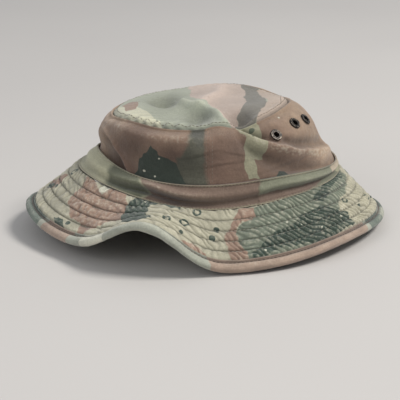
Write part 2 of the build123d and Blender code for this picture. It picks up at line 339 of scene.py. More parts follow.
def stitches(name, path, away, material, length=2.6, gap=0.7, radius=0.32, replaces=()):
    """Separate stitches along a line of points; away is the direction off the cloth."""
    steps = np.linalg.norm(np.diff(path, axis=0), axis=1)
    reach = np.concatenate([[0], np.cumsum(steps)])
    count = int(reach[-1] // (length + gap))
    pitch = reach[-1] / count
    ends = np.array([-0.5, -0.4, -0.15, 0.15, 0.4, 0.5])
    thick = np.array([0.3, 0.85, 1.0, 1.0, 0.85, 0.3])
    sink = np.array([-0.5, -0.12, 0.1, 0.1, -0.12, -0.5])
    places = (np.arange(count)[:, None] + 0.5) * pitch + ends * length

    def read(values):
        return np.stack([np.interp(places, reach, values[:, axis]) for axis in range(3)], axis=-1)

    centre, off = read(path), read(away)
    off /= np.linalg.norm(off, axis=-1, keepdims=True)
    along = np.gradient(centre, axis=1)
    along /= np.linalg.norm(along, axis=-1, keepdims=True)
    aside = np.cross(along, off)
    centre = centre + off * (sink * radius)[None, :, None]
    turns = np.linspace(0, 2 * math.pi, STITCH_SIDES, endpoint=False)
    ring = aside[:, :, None] * np.cos(turns)[:, None] + off[:, :, None] * np.sin(turns)[:, None]
    points = centre[:, :, None] + ring * (thick * radius)[None, :, None, None]
    size = len(ends) * STITCH_SIDES
    one = loop_faces(len(ends), STITCH_SIDES, False, True)
    one += [list(range(STITCH_SIDES))[::-1], list(range(size - STITCH_SIDES, size))]
    faces = [[v + stitch * size for v in face] for stitch in range(count) for face in one]
    return new_object(name, points, faces, {}, replaces=replaces, slot="sewing_thread", material=material)


# ==== Surfaces of the hat, from the frame ====
def read_brim():
    """Radius and height of the brim's inner and outer edges at the sample bearings."""
    inner = np.array([furthest(section, (-1, 0)) for section in sections("brim_upper")])
    edge = []
    for section, start in zip(sections("brim_binding"), inner):
        slope = section.mean(axis=0) - start
        edge.append(furthest(section, slope / np.linalg.norm(slope)))
    lower = np.array([furthest(section, (-1, 0)) for section in sections("brim_lower")])
    return smoothed((inner + lower) / 2), smoothed(np.array(edge))


def row_share(name):
    """The share of the way over the brim at which a row of stitching lies."""
    centre = np.array([section.mean(axis=0) for section in sections(name)])
    return float(np.mean(np.linalg.norm(centre - brim_seam, axis=1) / brim_width))


def read_band():
    """Radius and height of the foot and the top of the hat band at the sample bearings."""
    foot = [furthest(section, (0.7, -0.7)) for section in sections("hat_band")]
    top = [furthest(section, (-0.7, 0.7)) for section in sections("hat_band")]
    return smoothed(np.array(foot)), smoothed(np.array(top))


WALL_STEPS = 48
TIP_STEPS = 36
FAR = 200.0
NEAR_AXIS = 20.0
UNDER_BAND = 4.0
SEAM_DROP = 0.9


def read_tip():
    """The tip seam's radius and height, and a table of heights from the middle out to the seam."""
    points, _, polygons = node_arrays("crown_tip")
    tree = BVHTree.FromPolygons(points.tolist(), polygons)
    rim = smoothed(np.array([furthest(section, (1, 0)) for section in sections("crown_tip")]))
    heights = np.empty((len(SAMPLE_BEARINGS), TIP_STEPS))
    for i, bearing in enumerate(np.radians(SAMPLE_BEARINGS)):
        for j, spread in enumerate(np.linspace(0, 0.985, TIP_STEPS)):
            radius = rim[i, 0] * spread
            above = Vector((radius * math.cos(bearing), radius * math.sin(bearing), FAR))
            heights[i, j] = tree.ray_cast(above, Vector((0, 0, -1)))[0].z
    return rim, smoothed(heights)


def read_wall():
    """A table of (radius, height) up the wall, from under the band to the tip seam, evenly spaced."""
    points, _, polygons = node_arrays("crown_side_front", "crown_side_rear")
    tree = BVHTree.FromPolygons(points.tolist(), polygons)
    table = np.empty((len(SAMPLE_BEARINGS), WALL_STEPS, 2))
    for i, bearing in enumerate(np.radians(SAMPLE_BEARINGS)):
        low = band_top[i, 1] - UNDER_BAND
        outward = Vector((math.cos(bearing), math.sin(bearing), 0))
        for j, height in enumerate(np.linspace(low, tip_rim[i, 1] - SEAM_DROP, WALL_STEPS)):
            hit = tree.ray_cast(outward * FAR + Vector((0, 0, height)), -outward)
            radius = outward.dot(hit[0]) if hit[0] else np.nan
            table[i, j] = (radius if radius > NEAR_AXIS else np.nan, height)
    for j in range(WALL_STEPS):
        column = table[:, j, 0]
        good = ~np.isnan(column)
        table[:, j, 0] = np.interp(SAMPLE_BEARINGS, SAMPLE_BEARINGS[good], column[good], period=360)
    table = smoothed(table)
    for _ in range(3):
        table[:, 1:-1] = (table[:, :-2] + 2 * table[:, 1:-1] + table[:, 2:]) / 4
    even = np.linspace(0, 1, WALL_STEPS)
    for i in range(len(table)):
        steps = np.linalg.norm(np.diff(table[i], axis=0), axis=1)
        reach = np.concatenate([[0], np.cumsum(steps)]) / steps.sum()
        table[i] = np.stack([np.interp(even, reach, table[i, :, axis]) for axis in range(2)], axis=1)
    return table


brim_seam, brim_edge = read_brim()
brim_width = np.linalg.norm(brim_edge - brim_seam, axis=1)
band_foot, band_top = read_band()
tip_rim, tip_table = read_tip()
wall_table = read_wall()
QUILT_ROWS = [row_share(f"quilting_row_{number}_top") for number in (1, 2, 3, 4)]
BINDING_ROW = row_share("binding_stitch_top")


def brim(bearing, share, lift):
    """Points on the brim; lift is square to its slope, 0 in the middle of its thickness."""
    slope = brim_edge - brim_seam
    slope_r, slope_z = at(slope[:, 0], bearing), at(slope[:, 1], bearing)
    width = np.hypot(slope_r, slope_z)
    radius = at(brim_seam[:, 0], bearing) + slope_r * share - lift * slope_z / width
    height = at(brim_seam[:, 1], bearing) + slope_z * share + lift * slope_r / width
    return polar(bearing, radius, height)


def band(bearing, share, out):
    """Points on the band zone, from the brim seam to the band's top edge; out is square to the slope."""
    low_r, low_z = at(brim_seam[:, 0], bearing), at(brim_seam[:, 1], bearing) + 0.9
    slope_r, slope_z = at(band_top[:, 0], bearing) - low_r, at(band_top[:, 1], bearing) - low_z
    width = np.hypot(slope_r, slope_z)
    radius = low_r + slope_r * share + out * slope_z / width
    height = low_z + slope_z * share - out * slope_r / width
    return polar(bearing, radius, height)


def wall(bearings, shares, out):
    """A grid of points on the wall, out square to its slope."""
    def read(places):
        return [on_grid(wall_table[:, :, axis], bearings, np.clip(places, 0, 1)) for axis in range(2)]

    radius, height = read(shares)
    rise_r, rise_z = np.subtract(read(shares + 0.02), read(shares - 0.02))
    length = np.hypot(rise_r, rise_z)
    return polar(bearings[:, None], radius + out * rise_z / length, height - out * rise_r / length)


def tip(bearings, spreads, lift):
    """A grid of points on the tip, spread 0 in the middle and 1 at the seam."""
    radius = at(tip_rim[:, 0], bearings)[:, None] * spreads
    height = on_grid(tip_table, bearings, spreads)
    return polar(bearings[:, None], radius, height + lift)


def around(count):
    """Evenly spaced bearings, starting at the right side where the print's ends meet."""
    return -180 + 360 * (np.arange(count) + 0.5) / count


def brim_grid(bearings, shares, lift):
    """Points of the brim over a grid."""
    return brim(bearings[:, None], shares[None, :], lift)


def band_grid(bearings, shares, out):
    """Points of the band over a grid."""
    return band(bearings[:, None], shares[None, :], out)


def raised(points, height):
    """Points moved straight up by a grid of heights."""
    return points + np.stack([0 * height, 0 * height, height], axis=-1)


def cloth_grid(bearings, shares, unit):
    """Where each point is along and across the cloth, in millimetres, for the weave."""
    along, across = np.meshgrid(bearings * unit[0], shares * unit[1], indexing="ij")
    return np.stack([along, across, 0 * along], axis=-1)


def strip(name, node, surface, places, sheets, unit, solid=ring_solid, **keep):
    """A plain strip of cloth between two offsets from a surface, standing for one node."""
    outer, inner = (surface(*places, offset) for offset in sheets)
    return solid(name, outer, inner, {"cloth": cloth_grid(*places, unit)}, replaces=[node], **keep)


def print_fields(prints, u, v, unit, points, hidden=(), v_range=(0.0, 0.9), size=(7, 16), u_range=(120, 245)):
    """The fields of a print over a grid, with patches at random places added on the hidden side."""
    fields = {key: patch_field(u, v, patches, unit, points) for key, patches in prints.items()}
    round_the_back = np.where(u < 0, u + 360, u)
    for key, count in hidden:
        more = scattered(count, u_range, v_range, size, unit)
        fields[key] = np.maximum(fields[key], patch_field(round_the_back, v, more, unit, points))
    return fields


# ==== Materials ====
def linear(red, green, blue):
    """A colour from its 0 to 255 display values."""
    return [((c / 255 + 0.055) / 1.055) ** 2.4 for c in (red, green, blue)] + [1]


class Nodes:
    """A short way to build a material's node tree."""

    def __init__(self, name):
        self.material = bpy.data.materials.new(name)
        self.material.use_nodes = True
        self.tree = self.material.node_tree
        self.shader = self.tree.nodes["Principled BSDF"]

    def feed(self, target, value):
        if isinstance(value, bpy.types.NodeSocket):
            self.tree.links.new(value, target)
        else:
            target.default_value = value

    def add(self, kind, output=0, inputs=None, **settings):
        node = self.tree.nodes.new(kind)
        for key, value in settings.items():
            setattr(node, key, value)
        for key, value in (inputs or {}).items():
            self.feed(node.inputs[key], value)
        return node.outputs[output]

    def math(self, operation, *values):
        return self.add("ShaderNodeMath", inputs=dict(enumerate(values)), operation=operation)

    def ramp(self, value, low, high, to_low=0.0, to_high=1.0):
        inputs = {"Value": value, "From Min": low, "From Max": high, "To Min": to_low, "To Max": to_high}
        return self.add("ShaderNodeMapRange", inputs=inputs, interpolation_type="SMOOTHSTEP")

    def mix(self, share, first, second, blend="MIX"):
        inputs = {0: share, 6: first, 7: second}
        return self.add("ShaderNodeMix", output=2, inputs=inputs, data_type="RGBA", blend_type=blend)

    def noise(self, size, detail=2.0, roughness=0.5):
        """Noise with features of a size in millimetres."""
        inputs = {"Scale": MM / size, "Detail": detail, "Roughness": roughness}
        inputs["Vector"] = self.add("ShaderNodeTexCoord", output="Object")
        return self.add("ShaderNodeTexNoise", inputs=inputs)

    def attribute(self, name, output="Fac"):
        return self.add("ShaderNodeAttribute", output=output, attribute_name=name)

    def shaded(self, colour, shade):
        """A colour made lighter or darker by a number."""
        grey = self.add("ShaderNodeCombineColor", inputs={0: shade, 1: shade, 2: shade})
        return self.mix(1.0, colour, grey, "MULTIPLY")

    def finish(self, colour, height, strength, distance, **values):
        """Join up the shader: its colour, its bump and any plain values or sockets."""
        inputs = {"Strength": strength, "Distance": distance, "Height": height}
        self.feed(self.shader.inputs["Base Color"], colour)
        self.feed(self.shader.inputs["Normal"], self.add("ShaderNodeBump", inputs=inputs))
        for key, value in values.items():
            self.feed(self.shader.inputs[key.replace("_", " ")], value)
        return self.material


def cloth_material(name, base, layers=(), crest=True, weave=0.55, twill=0.0, fade=0.16, painted_light=None):
    """Printed cloth: colour layers cut by their fields, an optional tan of painted light, painted shade in
    the hollows and painted highlight on the crests from the crest field, paler noisy patches on the highest
    crests, and a woven bump.
    """
    n = Nodes(name)
    edge = n.math("SUBTRACT", n.noise(5.0, 3.0, 0.6), 0.5)
    colour = linear(*base)
    # Painted light: a tan mixed in where the mask says, in uneven noisy patches.
    if painted_light:
        uneven = n.ramp(n.noise(9.0, 3.0, 0.6), 0.25, 0.75, 0.55, 0.95)
        colour = n.mix(n.math("MULTIPLY", n.attribute("painted_light"), uneven), colour, linear(*painted_light))
    for field, ink, ragged, *soft in layers:
        wobble = n.math("MULTIPLY", edge, ragged)
        depth = n.math("ADD", n.attribute(field), wobble)
        spread, most = soft or (0.5, 1.0)
        colour = n.mix(n.ramp(depth, -0.6 * spread, 0.6 * spread, 0.0, most), colour, linear(*ink))
    patchy = n.ramp(n.noise(26.0, 4.0, 0.6), 0.3, 0.7, 1 - fade, 1 + fade * 0.6)
    speckle = n.ramp(n.noise(1.3, 2.0, 0.7), 0.25, 0.75, 0.88, 1.1)
    shade = n.math("MULTIPLY", patchy, speckle)
    # Painted shade and highlight: the crest field darkens grooves, seams and hollows and lightens crests and
    # ridges.
    if crest:
        height = n.attribute("crest")
        shade = n.math("MULTIPLY", shade, n.ramp(height, -1.0, 1.0, 0.56, 1.14))
        # Paler colour, in noisy patches, where the crest field is highest.
        crest_paling = n.math("MULTIPLY", n.ramp(height, 0.3, 1.1), n.ramp(n.noise(3.0, 3.0, 0.6), 0.4, 0.7))
        colour = n.mix(n.math("MULTIPLY", crest_paling, 0.38), colour, linear(206, 200, 180))
    split = n.add("ShaderNodeSeparateXYZ", inputs={0: n.attribute("cloth", "Vector")})
    along, across = split, split.node.outputs[1]
    pitch = 2 * math.pi / weave
    warp = n.math("SINE", n.math("MULTIPLY", along, pitch))
    weft = n.math("SINE", n.math("MULTIPLY", across, pitch))
    threads = n.math("MULTIPLY", warp, weft)
    if twill:
        slant = n.math("MULTIPLY", n.math("ADD", along, across), pitch * twill)
        threads = n.math("ADD", threads, n.math("SINE", slant))
    crumple = n.math("MULTIPLY", n.noise(4.5, 4.0, 0.6), 2.2)
    height = n.math("ADD", n.math("MULTIPLY", threads, 0.12), crumple)
    dullness = n.ramp(n.noise(8.0), 0.3, 0.7, 0.84, 0.96)
    return n.finish(n.shaded(colour, shade), height, 0.7, 0.0005, Roughness=dullness, Sheen_Weight=0.25,
                    Sheen_Roughness=0.6, Specular_IOR_Level=0.2)


def thread_material(name, ink):
    """Spun thread: a dull colour with a fine twist in its bump."""
    n = Nodes(name)
    tint = n.ramp(n.noise(6.0), 0.3, 0.7, 0.75, 1.15)
    twist = n.noise(0.35, 1.0)
    return n.finish(n.shaded(linear(*ink), tint), twist, 0.6, 0.0002, Roughness=0.75, Sheen_Weight=0.3)


def eyelet_material():
    """Blackened brass, with a painted highlight in a thin ring round each rim and a fainter one round each
    lip, broken up by noise.
    """
    n = Nodes("blackened_metal")
    place = n.add("ShaderNodeTexCoord", output="Object")
    nearest = 1.0
    for mount in frame["record"]["mounts"]:
        if mount["kind"] == "bore":
            centre, axis = mount["pos_m"], mount["axis"]
            away = n.add("ShaderNodeVectorMath", inputs={0: place, 1: centre}, operation="SUBTRACT")
            aside = n.add("ShaderNodeVectorMath", inputs={0: away, 1: axis}, operation="CROSS_PRODUCT")
            reach = n.add("ShaderNodeVectorMath", output="Value", inputs={0: aside}, operation="LENGTH")
            nearest = n.math("MINIMUM", reach, nearest)
    # Painted highlight: bright rings at the rim and the lip of each eyelet, broken up by noise.
    rim = n.math("MULTIPLY", n.ramp(nearest, 0.0036, 0.0040), n.ramp(nearest, 0.0047, 0.0043))
    lip = n.math("MULTIPLY", n.ramp(nearest, 0.0025, 0.0027), n.ramp(nearest, 0.0031, 0.0029))
    rings = n.math("ADD", rim, n.math("MULTIPLY", lip, 0.6))
    painted_rim_highlight = n.math("MULTIPLY", rings, n.ramp(n.noise(2.0, 3.0), 0.4, 0.62))
    colour = n.mix(n.math("MULTIPLY", painted_rim_highlight, 0.7), linear(30, 27, 25), linear(140, 128, 112))
    dullness = n.ramp(n.noise(0.8, 3.0), 0.3, 0.7, 0.36, 0.6)
    return n.finish(colour, n.noise(0.6, 3.0), 0.25, 0.0002, Roughness=dullness, Metallic=0.4,
                    Specular_IOR_Level=0.35)


BROWN = (112, 90, 77)
DARK_GREEN = (58, 72, 62)
KHAKI = (152, 149, 124)
CREAM = (166, 162, 141)
RED_BROWN = (143, 117, 101)
GREY_GREEN = (106, 113, 98)
WHITE = (200, 198, 180)

# ==== Brim ====
BRIM_UNIT = (2.15, 58.0)
STACK = 1.15
CLOTH_FACE = STACK - 0.35
CLOTH_BACK = 0.5
CLOTH_END = 0.965


def channel_arch(share):
    """How far into its quilted channel each share is: 0 on a row of stitching, 1 well away from the rows."""
    rows = np.array([0.0] + QUILT_ROWS + [BINDING_ROW])
    index = np.clip(np.searchsorted(rows, share) - 1, 0, len(rows) - 2)
    nearest = np.minimum(share - rows[index], rows[index + 1] - share) * BRIM_UNIT[1]
    return 1 - np.exp(-np.clip(nearest, 0, None) / 0.9), index


def quilted_shares(count):
    """Shares over the brim, crowded together towards each row of stitching."""
    crowded = 0.5 - 0.5 * np.cos(np.linspace(0, math.pi, count))
    rows = [0.0] + QUILT_ROWS + [BINDING_ROW - 0.03]
    channels = [low + (high - low) * crowded[:-1] for low, high in zip(rows[:-1], rows[1:])]
    return np.concatenate(channels + [[rows[-1], CLOTH_END]])


def brim_relief(bearing, share, seed):
    """Height of the quilted cloth over the brim's stack, in millimetres, and its painted crest shade from -1
    to 1: painted shade along the stitched rows, painted highlight on the ripples' crests.
    """
    flat = brim(bearing, share, 0.0)
    arch, channel = channel_arch(share)
    x, y = bearing * BRIM_UNIT[0], share * BRIM_UNIT[1]
    drift = noise(flat, 9.0, seed)
    wander = noise(flat, 24.0, seed + 1)
    back = ease(bearing, 10, 34) * (1 - ease(bearing, 84, 104))
    front = ease(bearing, -68, -58) * (1 - ease(bearing, -44, -36))
    rope_phase = x / 5.6 - y / 7.5 + 0.5 * drift + 1.1 * wander + 0.17 * channel
    rope = 1 - 1.5 * np.abs(np.cos(math.pi * rope_phase)) ** 3
    loose_phase = x / 9.0 - y / 8.0 + 0.9 * drift + 1.5 * wander + 0.41 * channel
    loose = 0.5 - np.abs(np.cos(math.pi * loose_phase)) ** 5
    bubble = 0.8 - 1.7 * cells(x + 2 * drift, y + 2 * wander, 4.6, seed + 5) ** 2
    patchy = np.clip(0.75 + 0.9 * noise(flat, 14.0, seed + 2), 0.15, 1.4)
    deep = back * (1.05 + 0.65 * ease(share, 0.3, 0.6))
    elsewhere = patchy * (1.15 * loose * (1 - front) + 1.4 * front * bubble)
    ripple = deep * rope * (0.5 + 0.5 * patchy) + (1 - back) * elsewhere
    puff = 1.5 * arch * (0.85 + 0.4 * noise(flat, 12.0, seed + 3))
    fine = 0.3 * noise(flat, 3.2, seed + 4) + 0.5 * noise(flat, 7.0, seed + 6)
    under_binding = 1 - ease(share, BINDING_ROW - 0.075, BINDING_ROW - 0.03)
    relief = (puff + (ripple + fine) * (0.4 + 0.6 * arch)) * under_binding
    # Painted shade along the stitched rows, painted highlight on the ripples' crests.
    crest = np.clip(1.6 * (arch - 0.75) + (0.8 + 0.25 * back) * ripple + 0.5 * fine, -1, 1.1)
    return relief, crest


BRIM_PRINT = {
    "brown": [
        ("outline", (-67, 0.05), (-60, 0), (-53, 0.15), (-50, -0.05), (-42, 0), (-31, 0.45), (-38, 0.6),
         (-46, 0.9), (-50, 0.7), (-62, 0.5)),
        ("outline", (-90, 0.5), (-82, 0.2), (-77, 0.45), (-84, 0.6)),
        ("outline", (-10, 0.8), (-6, 0.7), (-1, 0.8), (-5, 0.95)),
        ("outline", (14, 0), (23, 0.05), (22, 0.2), (14, 0.25), (10, 0.45), (14, 0.9), (7, 0.9), (6, 0.5),
         (11, 0.2)),
    ],
    "grey_green": [
        ("outline", (15, 0.25), (23, 0.05), (45, -0.05), (86, -0.05), (84, 0.15), (62, 0.4), (54, 0.6),
         (46, 0.9), (14, 0.9), (10, 0.45)),
        ("outline", (92, 0.1), (104, 0), (106, 0.4), (98, 0.5)),
    ],
    "dark": [
        ("outline", (-38, 0.2), (-36, -0.1), (-14, -0.1), (-13, 0.1), (-18, 0.1), (-25, 0), (-28, 0.2),
         (-21, 0.65), (-24, 0.75), (-31, 0.65)),
        ("outline", (14, 0.8), (26, 0.5), (34, 0.5), (42, 0.35), (53, 0.3), (60, 0.55), (60, 0.8), (42, 0.85),
         (28, 0.75), (16, 0.85)),
        ("outline", (64, -0.05), (84, -0.05), (84, 0.05), (66, 0.1), (55, 0.25), (52, 0.15)),
        ("outline", (-61, 0.8), (-57, 0.75), (-52, 0.9), (-58, 0.95)),
        ("outline", (-88, 0.55), (-82, 0.45), (-80, 0.5), (-84, 0.6)),
    ],
    "mark": [
        ("spot", -54, 0.75, 2.1), ("spot", 3, 0.35, 2.6), ("spot", 1, 0.5, 2.9), ("spot", -10, 0.65, 1.9),
        ("spot", -79, 0.45, 2.4), ("spot", 72, 0.6, 2.0), ("spot", 92, 0.7, 2.4),
        ("ring", -80, 0.1, 3.1, 1.7), ("ring", -6, 0.08, 3.6, 2.2), ("ring", -16, 0.5, 2.5, 1.7),
        ("ring", -10, 0.4, 3.4, 1.8), ("ring", 66, 0.4, 2.4, 1.8), ("ring", 59, 0.6, 3.8, 2.1),
        ("ring", 84, 0.6, 2.6, 1.6),
    ],
    "pale": [
        ("spot", -54, 0.05, 4.6), ("spot", -32, 0.05, 1.1), ("spot", 38, 0.5, 0.7), ("spot", 45, 0.65, 0.8),
        ("spot", 57, 0.6, 1.1), ("spot", 20, 0.75, 0.8), ("spot", 24, 0.7, 0.6), ("spot", 61, 0.5, 1.0),
        ("spot", 33, 0.4, 0.7),
    ],
}


def build_brim():
    """The upper and lower cloth with the quilting's relief, and the interlining between them."""
    layers = [("grey_green", GREY_GREEN, 3.0, 1.0, 1.0), ("brown", RED_BROWN, 3.0, 1.0, 0.95),
              ("dark", DARK_GREEN, 2.5), ("mark", DARK_GREEN, 0.5), ("pale", WHITE, 0.8)]
    finish = {"slot": "camouflage_brim", "material": cloth_material("camouflage_brim", CREAM, layers)}
    flat_shares = np.linspace(0.0, CLOTH_END, 5)

    bearings, shares = around(1040), quilted_shares(17)
    u, v = bearings[:, None], shares[None, :]
    relief, crest = brim_relief(u, v, 3)
    outer = brim(u, v, CLOTH_FACE + relief)
    inner = brim_grid(bearings, flat_shares, CLOTH_BACK)
    hidden = (("brown", 9), ("grey_green", 7), ("dark", 12))
    fields = print_fields(BRIM_PRINT, u, v, BRIM_UNIT, brim(u, v, 0.0), hidden)
    fields.update(crest=crest, cloth=cloth_grid(bearings, shares, BRIM_UNIT))
    ring_solid("brim_upper_cloth", outer, inner, fields, replaces=["brim_upper"], **finish)

    bearings, shares = around(720), quilted_shares(11)
    u, v = bearings[:, None], shares[None, :]
    relief, crest = brim_relief(u, v, 23)
    outer = brim(u, v, -CLOTH_FACE - 0.6 * relief)
    inner = brim_grid(bearings, flat_shares, -CLOTH_BACK)
    fields = {"crest": crest, "cloth": cloth_grid(bearings, shares, BRIM_UNIT)}
    fields["mark"] = np.full(crest.shape, UNPRINTED)
    for key, count in (("brown", 16), ("grey_green", 14), ("dark", 22), ("pale", 3)):
        patches = scattered(count, (-180, 180), (0.0, 0.9), (6, 16), BRIM_UNIT)
        fields[key] = patch_field(u, v, patches, BRIM_UNIT, outer)
    ring_solid("brim_lower_cloth", outer, inner, fields, replaces=["brim_lower"], **finish)

    plain = cloth_material("interlining_cloth", (206, 202, 188), crest=False)
    strip("brim_stiffener", "brim_interlining", brim_grid, (around(360), flat_shares), (0.4, -0.4), BRIM_UNIT,
          slot="interlining_cloth", material=plain)


def build_quilting():
    """Rows of separate stitches on both faces of the brim, and along the binding."""
    bearings = np.linspace(-180, 180, 2200)
    quilting = thread_material("quilting_thread", (134, 131, 112))
    edging = thread_material("binding_thread", (98, 82, 72))
    low, high = CLOTH_FACE + 0.12, STACK + 0.45
    rows = [(f"quilting_row_{number}", share, low, quilting) for number, share in enumerate(QUILT_ROWS, 1)]
    rows.append(("binding_stitch", BINDING_ROW, high, edging))
    for row, share, rise, material in rows:
        for face, sign in (("_top", 1), ("_under", -1)):
            path = brim(bearings, share, sign * rise)
            away = brim(bearings, share, sign * (rise + 1)) - path
            stitches(row + face + "_thread", path, away, material, replaces=[row + face])


BINDING_PRINT = {
    "dark": [
        ("outline", (-97, -1), (-64, -1), (-66, 2), (-95, 2)),
        ("outline", (66, -1), (80, -1), (80, 2), (70, 2)),
        ("outline", (88, -1), (104, -1), (104, 2), (90, 2)),
    ],
    "brown": [
        ("outline", (-62, -1), (-47, -1), (-49, 2), (-62, 2)),
        ("outline", (-4, -1), (66, -1), (64, 2), (6, 2)),
    ],
    "pale": [
        ("outline", (-43, -1), (-33, -1), (-33, 2), (-43, 2)),
        ("spot", 70, 0.5, 1.6),
        ("spot", 72, 0.3, 1.0),
    ],
}


def build_binding():
    """The folded strip over the brim's edge: flat where it is sewn, and a full roll outside the stitching."""
    bearings = around(1100)
    u = bearings[:, None]
    start, end = BINDING_ROW - 0.05, 0.972
    t = np.linspace(0, 1, 40)
    upper = start + (end - start) * t
    groove = 1.5 * hump((upper - BINDING_ROW) * BRIM_UNIT[1], 0, 1.1)
    roll = 1.35 * np.sin(math.pi * np.clip((upper - BINDING_ROW) / (1 - BINDING_ROW), 0, 1)) ** 0.7
    edge_dip = 0.7 * hump(t, 0, 0.06)
    base = brim_grid(bearings, upper, 0.0)
    ripple = 0.4 * noise(base, 5.0, 41) + 0.5 * noise(base, 14.0, 42)
    smooth = STACK + 0.9 - groove + roll - edge_dip
    moved = ripple * ease(t, 0.1, 0.4)
    turns = np.linspace(0, math.pi, 11)[1:-1]
    lift = smooth + moved
    nose = lift[:, -1:] * np.cos(turns)
    lifts = np.concatenate([lift, nose, -(smooth + 0.6 * moved)[:, ::-1]], axis=1)
    shares = np.concatenate([upper, end + 0.036 * np.sin(turns), upper[::-1]])
    points = brim(u, shares[None, :], lifts)
    foot = start + 0.004
    hollow_shares = np.array([[foot, CLOTH_END, CLOTH_END, foot]])
    hollow = brim(u, hollow_shares, np.array([[-1.25, -1.25, 1.25, 1.25]]))
    v = np.linspace(0, 1, points.shape[1])
    fields = print_fields(BINDING_PRINT, u, v[None, :], (2.6, 18.0), points)
    # Painted shade in the stitched groove and at the strip's inner edge, painted highlight on the roll, its
    # ripples and its nose.
    across = np.clip(0.55 * roll - 0.2 + 0.7 * ripple - 1.3 * groove - 1.2 * edge_dip, -1, 1)
    crest = np.concatenate([across, np.full(nose.shape, 0.4), across[:, ::-1]], axis=1)
    fields.update(crest=crest, cloth=cloth_grid(bearings, v, (2.6, 22.0)))
    layers = [("pale", WHITE, 2.0), ("brown", (158, 138, 122), 3.0), ("dark", (98, 108, 98), 3.0)]
    material = cloth_material("camouflage_binding", (158, 160, 146), layers)
    ring_solid("brim_binding_tape", points, hollow[:, ::-1], fields, replaces=["brim_binding"],
               slot="camouflage_binding", material=material)


# ==== Band ====
BAND_UNIT = (1.6, 25.0)
BAND_FACE = 1.2
BAND_PRINT = {
    "dark": [
        ("outline", (-57, 0), (-60, 0.9), (-52, 1.2), (-42, 1.1), (-33, 0.35), (-38, -0.2), (-50, -0.2)),
    ],
    "brown": [("outline", (-42, 1.2), (-33, 0.35), (-37, -0.2), (44, -0.2), (66, 0.3), (26, 0.4), (26, 1.2))],
    "olive": [("outline", (24, -0.4), (24, 1.4), (75, 1.4), (84, -0.4))],
    "pale": [("outline", (72, 0.5), (78, 0.3), (98, 0.2), (98, 1.2), (74, 1.2))],
}


def band_relief(bearing, share):
    """The band's sag: a roll above the crease and a hollow below it."""
    crease = 0.36 + 0.17 * swell(bearing, -34, 12) + 0.1 * swell(bearing, 38, 18)
    deep = 0.45 + 1.2 * swell(bearing, -25, 24) + 0.45 * swell(bearing, 50, 25)
    roll = 2.2 * hump(share, crease + 0.2, 0.17)
    hollow = 3.4 * hump(share, crease - 0.1, 0.14)
    flat = band(bearing, share, 0.0)
    soft = 0.6 * noise(flat, 22.0, 51) + 0.18 * noise(flat, 6.0, 52)
    held = ease(share, 0.02, 0.15) * (1 - ease(share, 0.88, 1.0))
    join = 0.7 * ease(bearing, 25.0, 25.8) * (1 - ease(bearing, 29, 36))
    return ((roll - hollow) * deep + soft) * held + join


def build_band():
    """The strip round the foot of the crown, turned under along both edges."""
    bearings, shares = around(900), np.linspace(0.0, 1.0, 34)
    u, v = bearings[:, None], shares[None, :]
    relief = band_relief(u, v)
    edges = 0.55 * (hump(v, 0.03, 0.035) + hump(v, 0.97, 0.03))
    hem = edges - 0.35 * (hump(v, 0.1, 0.03) + hump(v, 0.9, 0.03))
    outer = band(u, v, BAND_FACE + relief + hem)
    inner = band(u, v, 0.2 + relief)
    hidden = (("brown", 5), ("dark", 4))
    fields = print_fields(BAND_PRINT, u, v, BAND_UNIT, outer, hidden, (0, 1), (8, 16), (112, 245))
    piping = np.maximum(1 - np.abs(v - 0.03) / 0.018, 1 - np.abs(v - 0.975) / 0.014)
    # Painted shade: thin dark lines along both edges of the band and just inside its hems; darker in the
    # band's hollow and lighter on its roll.
    gap = hump(v, 0.0, 0.012) + hump(v, 1.0, 0.01) + 0.5 * hump(v, 0.06, 0.02) + 0.5 * hump(v, 0.945, 0.014)
    crest = np.clip(0.25 * relief - 1.2 * gap, -1, 1)
    fields.update(crest=crest, cloth=cloth_grid(bearings, shares, BAND_UNIT))
    fields["hem"] = np.broadcast_to(piping * 2, relief.shape)
    layers = [("olive", (126, 128, 108), 2.0, 2.5, 1.0), ("brown", (124, 105, 92), 2.0, 2.5, 1.0),
              ("dark", (106, 108, 88), 2.5, 4.0, 1.0), ("pale", (182, 168, 146), 2.0),
              ("hem", (176, 168, 144), 0.6)]
    material = cloth_material("camouflage_band", (184, 181, 152), layers, fade=0.1)
    ring_solid("hat_band_strip", outer, inner, fields, replaces=["hat_band"], slot="camouflage_band",
               material=material)


def build_band_threads():
    """Stitching along both edges of the band."""
    material = thread_material("band_thread", (150, 142, 120))
    bearings = np.linspace(-180, 180, 1800)
    for name, share in (("hat_band_upper_stitch", 0.93), ("hat_band_lower_stitch", 0.07)):
        relief = band_relief(bearings, np.full_like(bearings, share))
        path = band(bearings, share, BAND_FACE + relief)
        away = band(bearings, share, BAND_FACE + 1 + relief) - path
        stitches(name + "_thread", path, away, material, length=2.2, radius=0.2, replaces=[name])


# ==== Crown ====
WALL_UNIT = (1.45, 62.0)
SIDE_RADIUS = 82.0
TIP_REACH = 64.0
CLOTH = 0.7
EYELET_HOLE = 2.9
SIDES = (("left", 0.0), ("right", 180.0))
